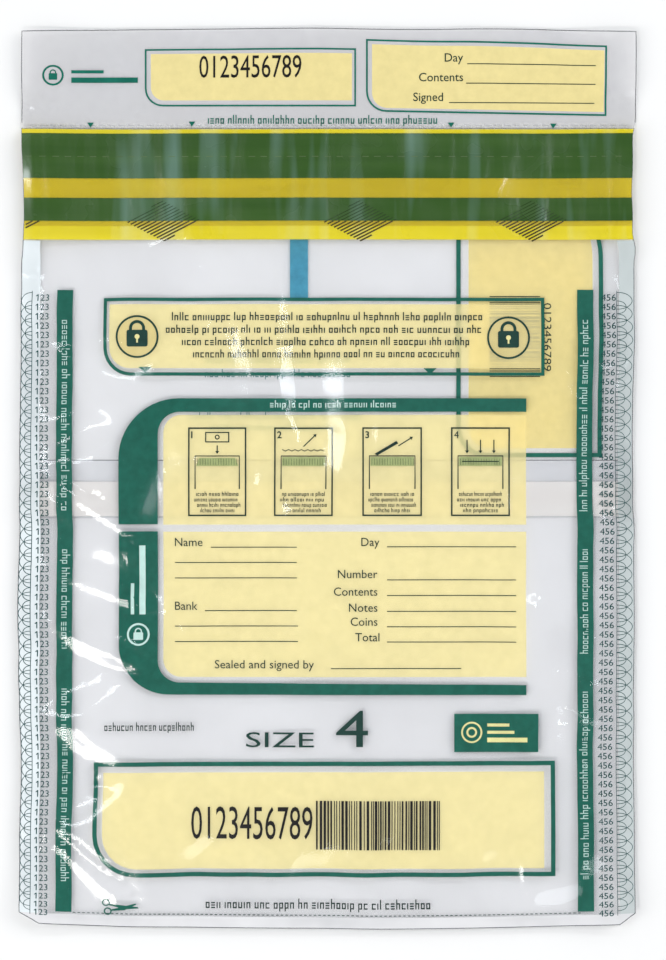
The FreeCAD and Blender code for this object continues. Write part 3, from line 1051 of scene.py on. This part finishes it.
# the cut-edge bead is coloured dark grey as a painted shadow line along the bag's outline; the bead itself is real
M_EDGE_SHADE_BEAD = film_material("cut_edge_painted_shadow", through=(0.28, 0.30, 0.33), haze=0.6, tint=(98, 104, 111), gloss=0.12, fine=0.6)
M_GLUE = film_material("adhesive_coat", through=(0.97, 0.92, 0.55), haze=0.06, tint=(226, 202, 60), gloss=0.3, fine=1.4, crisp=False)
M_GREEN = ink_material("green_ink", (0, 103, 86), 0.96, (0.01, 0.12, 0.09))
M_DEEP = ink_material("deep_green_ink", (4, 62, 52), 0.98, (0.01, 0.06, 0.05))
M_TEAL = ink_material("teal_ink", (6, 68, 68), 0.95, (0.04, 0.2, 0.2))
M_YELLOW = ink_material("cream_flood", (243, 232, 178), 0.60, (0.97, 0.88, 0.5), vary=0.02)
M_YELLOW_B = ink_material("cream_flood_back", (234, 218, 150), 0.78, (0.95, 0.86, 0.5), vary=0.03)
M_DARK = ink_material("dark_green_ink", (6, 46, 36), 0.98, (0.01, 0.03, 0.02))
M_BLACK = ink_material("black_ink", (14, 12, 10), 0.99, (0.01, 0.01, 0.01))
M_WHITE = ink_material("white_ink", (206, 232, 226), 0.95, (0.8, 0.8, 0.8), vary=0.04)
M_CREAM = ink_material("cream_ink", (236, 230, 170), 0.95, (0.8, 0.8, 0.5), vary=0.04)
M_SHADE = ink_material("hatch_ink", (172, 184, 128), 0.9, (0.5, 0.55, 0.3))
M_BLUE = ink_material("blue_green_ink", (78, 160, 188), 0.84, (0.2, 0.55, 0.65))
M_FAINT = ink_material("faint_ink", (110, 160, 160), 0.5, (0.6, 0.75, 0.75))
M_BROWN = ink_material("brown_ink", (58, 48, 6), 0.98, (0.03, 0.02, 0.01))
M_PALE = ink_material("pale_ink", (112, 136, 92), 0.6, (0.3, 0.4, 0.2))
M_GHOST = ink_material("ghost_ink", (30, 46, 18), 0.6, (0.1, 0.2, 0.05))
# the green tape and the yellow liner carry painted glare streaks in their colour
M_TAPE = tape_material("green_security_tape", (44, 78, 24), (54, 88, 32), 0.22, coat=0.8, ripple=1.6, glare_amount=0.27)
M_LINER = tape_material("yellow_release_liner", (230, 215, 6), (238, 224, 22), 0.3, coat=0.3, through=0.12, glare_amount=0.45, glare_colour=(240, 242, 190))
M_WLINER = tape_material("white_release_liner", (234, 230, 226), (240, 237, 233), 0.4, 0.7, 0.15)

# ---------------------------------------------------------------------------
# Pieces
# ---------------------------------------------------------------------------
box_front = [(-WX, WX, YS, YF), (-HX, HX, YF, YL)]
front_film = panel(
    "front_film_and_lip", front, box_front, [M_FILM, M_EDGE_SHADE_BEAD],
    beads=[[(-HX, YF), (-HX, YL), (HX, YL), (HX, YF)]], rim=0.15)
left_weld = panel("left_side_weld_band", front, [(-HX, -WX, YS, YF)], [M_WELD, M_EDGE_SHADE_BEAD],
                  beads=[[(-HX, YS), (-HX, YF)]])
right_weld = panel("right_side_weld_band", front, [(WX, HX, YS, YF)], [M_WELD_SHADED, M_EDGE_SHADE_BEAD],
                   beads=[[(HX, YS), (HX, YF)]])
cc, ch = 6.5, YS - YB
bottom = panel(
    "bottom_seal", front, [(-HX, HX, YB, YS)], [M_SEAL, M_EDGE_SHADE_BEAD],
    chamfer=[((-HX, YS), (-ch, -cc)), ((HX, YS), (ch, -cc))],
    beads=[[(-HX, YS), (-HX + cc, YB), (HX - cc, YB), (HX, YS)]])
back_film = panel(
    "back_film", back, [(-WX, WX, YS, YF), (-HX, HX, YF, YM)], [M_BACK, M_EDGE_SHADE_BEAD],
    beads=[[(-HX, YF), (-HX, YM)], [(HX, YF), (HX, YM)]])

perf_x0, perf_n = -(62 - 1) * 3.6 / 2, 62


def in_cut(x, y):
    k = round((x - perf_x0) / 3.6)
    return 0 <= k < perf_n and abs(x - (perf_x0 + 3.6 * k)) < 1.2 and abs(y - (YM + 0.1 + 1.0)) < 0.3


cut_x = [round(perf_x0 + 3.6 * k + s, 4) for k in range(perf_n) for s in (-1.2, 1.2)]
perf = panel("perforated_band", back, [(-HX, HX, YM + 0.15, YM + 0.8), (-HX, HX, YM + 0.8, YM + 1.4), (-HX, HX, YM + 1.4, YR)],
             [M_RECEIPT], holes=in_cut, extra_x=cut_x)
receipt = panel("receipt_film", back, [(-HX, HX, YR, YT)], [M_RECEIPT, M_EDGE_SHADE_BEAD],
                beads=[[(-HX, YR), (-HX, YT), (HX, YT), (HX, YR)]])

tape_up = panel("upper_green_tape", front, [(-HX, HX, T1[0], T1[1])], [M_TAPE], off=0.10)
tape_low = panel("lower_green_tape", front, [(-HX, HX, T2[0], T2[1])], [M_TAPE], off=0.10)
glue = panel("lip_adhesive", front, [(-HX, HX, GL[0] + 1.6, GL[1])], [M_GLUE], off=-0.10)
liner = panel("yellow_peel_liner", front, [(-HX, HX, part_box("closure_release_liner")[0].y / MM, YL - 0.2)], [M_LINER], off=-0.26)

pouch_film = panel(
    "rear_pouch_film", pouch, [(-WX, WX, YS, PF), (-HX, HX, PF, PE)], [M_POUCH, M_LIP2, M_EDGE_SHADE_BEAD], above=PF,
    beads=[[(-HX, PF), (-HX, PE), (HX, PE), (HX, PF)]])
wglue = panel("pouch_lip_adhesive", pouch, [(-WX, WX, WL[0], WL[1])], [M_GLUE], off=0.05)
wliner = panel("white_peel_liner", pouch, [(-HX, HX, WL[0], WL[1])], [M_WLINER], off=0.12)


def print_on(name, art, key, film, off, mat):
    """Lay one ink of the artwork on a film, cut fine enough to follow its creases."""
    pts, faces = art.ink[key]
    p = np.array(pts)
    x, y = ax(p[:, 0]), ay(p[:, 1])
    bm = bmesh.new()
    vs = [bm.verts.new((a, b, 0)) for a, b in zip(x, y)]
    for f in faces:
        q = [vs[k] for k in f]
        if len(set(q)) >= 3:
            try:
                bm.faces.new(q)
            except ValueError:
                pass
    bmesh.ops.dissolve_degenerate(bm, dist=0.0005, edges=bm.edges[:])
    big = [f for f in bm.faces if len(f.verts) > 4]
    bmesh.ops.triangulate(bm, faces=big)
    for axis in (0, 1):
        c = np.array([v.co[axis] for v in bm.verts])
        own = film.xs if axis == 0 else film.ys
        for pos in own[(own > c.min() + 0.01) & (own < c.max() - 0.01)].tolist():
            cut_e = [e for e in bm.edges
                     if (e.verts[0].co[axis] - pos) * (e.verts[1].co[axis] - pos) < 0]
            if not cut_e:
                continue
            fs = {f for e in cut_e for f in e.link_faces}
            es = {e for f in fs for e in f.edges}
            ws = {v for f in fs for v in f.verts}
            co, no = ((pos, 0, 0), (1, 0, 0)) if axis == 0 else ((0, pos, 0), (0, 1, 0))
            bmesh.ops.bisect_plane(bm, geom=list(ws) + list(es) + list(fs), plane_co=co, plane_no=no)
    bm.verts.index_update()
    flat = np.array([(v.co.x, v.co.y) for v in bm.verts])
    polys = [[v.index for v in f.verts] for f in bm.faces]
    bm.free()
    # every face looks up
    fixed = []
    for q in polys:
        a = flat[q]
        area = np.sum(a[:, 0] * np.roll(a[:, 1], -1) - np.roll(a[:, 0], -1) * a[:, 1])
        fixed.append(q if area > 0 else q[::-1])
    co = film.at(flat[:, 0], flat[:, 1], off)
    return finish_mesh(name, co, flat, fixed, [mat])


inks = {
    "front_green_print": (F, "green", front, -0.16, M_GREEN, "bag", "clear_film"),
    "front_edge_print": (F, "teal", front, 0.05, M_TEAL, "bag", "clear_film"),
    "front_cream_panels": (F, "yellow", front, -0.24, M_YELLOW, "bag", "clear_film"),
    "front_icon_grounds": (F, "yellow2", front, -0.20, M_YELLOW, "bag", "clear_film"),
    "front_dark_print": (F, "dark", front, -0.10, M_DARK, "bag", "clear_film"),
    "front_black_print": (F, "black", front, -0.10, M_BLACK, "bag", "clear_film"),
    "front_white_print": (F, "white", front, -0.10, M_WHITE, "bag", "clear_film"),
    "front_icon_marks": (F, "deep", front, -0.14, M_DEEP, "bag", "clear_film"),
    "front_cream_marks": (F, "cream", front, -0.10, M_CREAM, "bag", "clear_film"),
    "front_hatch_print": (F, "shade", front, -0.14, M_SHADE, "bag", "clear_film"),
    "receipt_green_print": (R, "green", back, 0.09, M_GREEN, "receipt", "clear_film"),
    "receipt_cream_panels": (R, "yellow", back, 0.05, M_YELLOW_B, "receipt", "clear_film"),
    "receipt_dark_print": (R, "dark", back, 0.13, M_DARK, "receipt", "clear_film"),
    "receipt_black_print": (R, "black", back, 0.13, M_BLACK, "receipt", "clear_film"),
    "liner_hatching": (L, "brown", front, -0.20, M_BROWN, "closure_liner", "yellow_liner"),
    "tape_dashes": (T, "pale", front, 0.14, M_PALE, "lip", "security_tape"),
    "back_blue_bar": (B, "blue", back, 0.08, M_BLUE, "bag", "clear_film"),
    "back_green_frame": (B, "green", back, 0.08, M_GREEN, "bag", "clear_film"),
    "back_cream_panel": (B, "yellow", back, 0.05, M_YELLOW_B, "bag", "clear_film"),
    "back_bars_and_number": (B, "dark", back, 0.11, M_DARK, "bag", "clear_film"),
    "back_faint_lines": (B, "faint", back, 0.08, M_FAINT, "bag", "clear_film"),
    "back_top_line": (B, "brown", back, 0.05, M_BROWN, "bag", "clear_film"),
    "tape_faint_hatch": (T, "ghost", front, 0.14, M_GHOST, "lip", "security_tape"),
}
# the sheet's left edge clips the first hatched diamond
pts, faces = L.ink["brown"]
L.ink["brown"] = ([(max(u, 23.6), v) for u, v in pts], faces)
made = {}
for name, (art, key, film, off, mat, body, slot) in inks.items():
    ob = print_on(name, art, key, film, off, mat)
    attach(ob, body)
    if key == "yellow":
        ob.visible_shadow = False  # thin enough to let the light through
    made[name] = ob

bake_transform(front_film)
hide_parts("front_panel", "closure_lip")
for ob, body, node in (
    (left_weld, "bag", "left_side_weld"), (right_weld, "bag", "right_side_weld"), (bottom, "bag", "bottom_fold"),
    (back_film, "bag", "back_panel"), (perf, "perforation", "perforation_strip"), (receipt, "receipt", "receipt_strip"),
    (tape_up, "lip", "upper_security_tape"), (tape_low, "lip", "lower_security_tape"), (glue, "lip", "closure_adhesive"),
    (liner, "closure_liner", "closure_release_liner"), (wglue, "pouch_flap", "pouch_adhesive"), (wliner, "pouch_liner", "pouch_release_liner"),
):
    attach(ob, body)
    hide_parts(node)
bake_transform(pouch_film)
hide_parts("pouch_panel", "pouch_lip")

# ---------------------------------------------------------------------------
# Table, light and camera
# ---------------------------------------------------------------------------
fm = bpy.data.meshes.new("table_top")
fm.from_pydata([(-3, -3, -0.0003), (3, -3, -0.0003), (3, 3, -0.0003), (-3, 3, -0.0003)], [], [[0, 1, 2, 3]])
floor = bpy.data.objects.new("table_top", fm)
scene.collection.objects.link(floor)
fmat = bpy.data.materials.new("pale_table")
fmat.use_nodes = True
pb = fmat.node_tree.nodes["Principled BSDF"]
pb.inputs["Roughness"].default_value = 0.7
pb.inputs["Specular IOR Level"].default_value = 0.2
ftc = fmat.node_tree.nodes.new("ShaderNodeTexCoord")
fno = fmat.node_tree.nodes.new("ShaderNodeTexNoise")
fno.inputs["Scale"].default_value = 9.0
frm = fmat.node_tree.nodes.new("ShaderNodeValToRGB")
frm.color_ramp.elements[0].color = (0.852, 0.852, 0.856, 1)
frm.color_ramp.elements[1].color = (0.868, 0.868, 0.872, 1)
fmat.node_tree.links.new(ftc.outputs["Object"], fno.inputs["Vector"])
fmat.node_tree.links.new(fno.outputs["Fac"], frm.inputs[0])
fmat.node_tree.links.new(frm.outputs[0], pb.inputs["Base Color"])
floor.data.materials.append(fmat)

# A light tent: bright low down, dim straight overhead.
world = bpy.data.worlds.new("studio")
scene.world = world
world.use_nodes = True
wt = world.node_tree
wtc = wt.nodes.new("ShaderNodeTexCoord")
wsx = wt.nodes.new("ShaderNodeSeparateXYZ")
wrm = wt.nodes.new("ShaderNodeValToRGB")
wt.links.new(wtc.outputs["Generated"], wsx.inputs[0])
wt.links.new(wsx.outputs[2], wrm.inputs[0])
wr = wrm.color_ramp
wr.elements[0].position, wr.elements[0].color = 0.0, (0.92, 0.92, 0.915, 1)
wr.elements[1].position, wr.elements[1].color = 0.97, (0.16, 0.17, 0.19, 1)
for pos, c in ((0.62, (0.78, 0.78, 0.775, 1)), (0.84, (0.34, 0.35, 0.37, 1))):
    e = wr.elements.new(pos)
    e.color = c
wt.links.new(wrm.outputs[0], wt.nodes["Background"].inputs[0])
wt.nodes["Background"].inputs[1].default_value = 0.84


def area(name, at, look, sx, sy, power, colour=(1, 1, 1)):
    d = bpy.data.lights.new(name, "AREA")
    d.shape, d.size, d.size_y, d.energy, d.color = "RECTANGLE", sx, sy, power, colour
    o = bpy.data.objects.new(name, d)
    scene.collection.objects.link(o)
    o.location = at
    o.rotation_mode = "QUATERNION"
    o.rotation_quaternion = (Vector(look) - Vector(at)).to_track_quat("-Z", "Y")
    return o


area("streaks_low_left", (-0.35, -0.52, 1.25), (-0.05, -0.03, 0), 0.30, 0.22, 3.8, (1.0, 0.98, 0.94))
area("streaks_left", (-0.60, 0.10, 1.25), (0, 0, 0), 0.08, 0.7, 2.5, (0.90, 0.95, 0.99))
area("streaks_right", (0.62, 0.25, 1.25), (0, 0, 0), 0.08, 0.6, 2.1, (0.86, 0.93, 0.99))
area("streaks_top", (0.05, 0.85, 1.15), (0, 0, 0), 0.8, 0.06, 1.8, (0.90, 0.95, 0.99))
area("sheen_low", (0.20, -0.66, 1.35), (0, 0, 0), 0.5, 0.22, 1.5, (0.88, 0.94, 0.99))
area("soft_left", (-1.30, -0.45, 1.0), (0, 0, 0), 0.8, 1.0, 5.4, (1.0, 0.965, 0.92))
area("soft_right", (1.25, 0.60, 1.0), (0, 0, 0), 0.8, 1.0, 7.4, (1.0, 0.965, 0.92))

cam_d = bpy.data.cameras.new("camera")
cam = bpy.data.objects.new("camera", cam_d)
scene.collection.objects.link(cam)
scene.camera = cam
centre = (start_lo + start_hi) / 2
cover = 960 * UNIT * MM
dist = 1.20
cam.location = (centre.x + 1.5 * MM, centre.y - 0.7 * MM, dist)
cam.rotation_euler = (0, 0, 0)
cam_d.sensor_width = 36.0
cam_d.lens = 36.0 * dist / cover
cam_d.clip_start, cam_d.clip_end = 0.01, 20

scene.view_settings.view_transform = "Standard"
scene.cycles.transparent_max_bounces = 28
scene.cycles.max_bounces = 5
scene.cycles.diffuse_bounces = 2
scene.cycles.glossy_bounces = 2
front_film.visible_shadow = False
pouch_film.visible_shadow = False
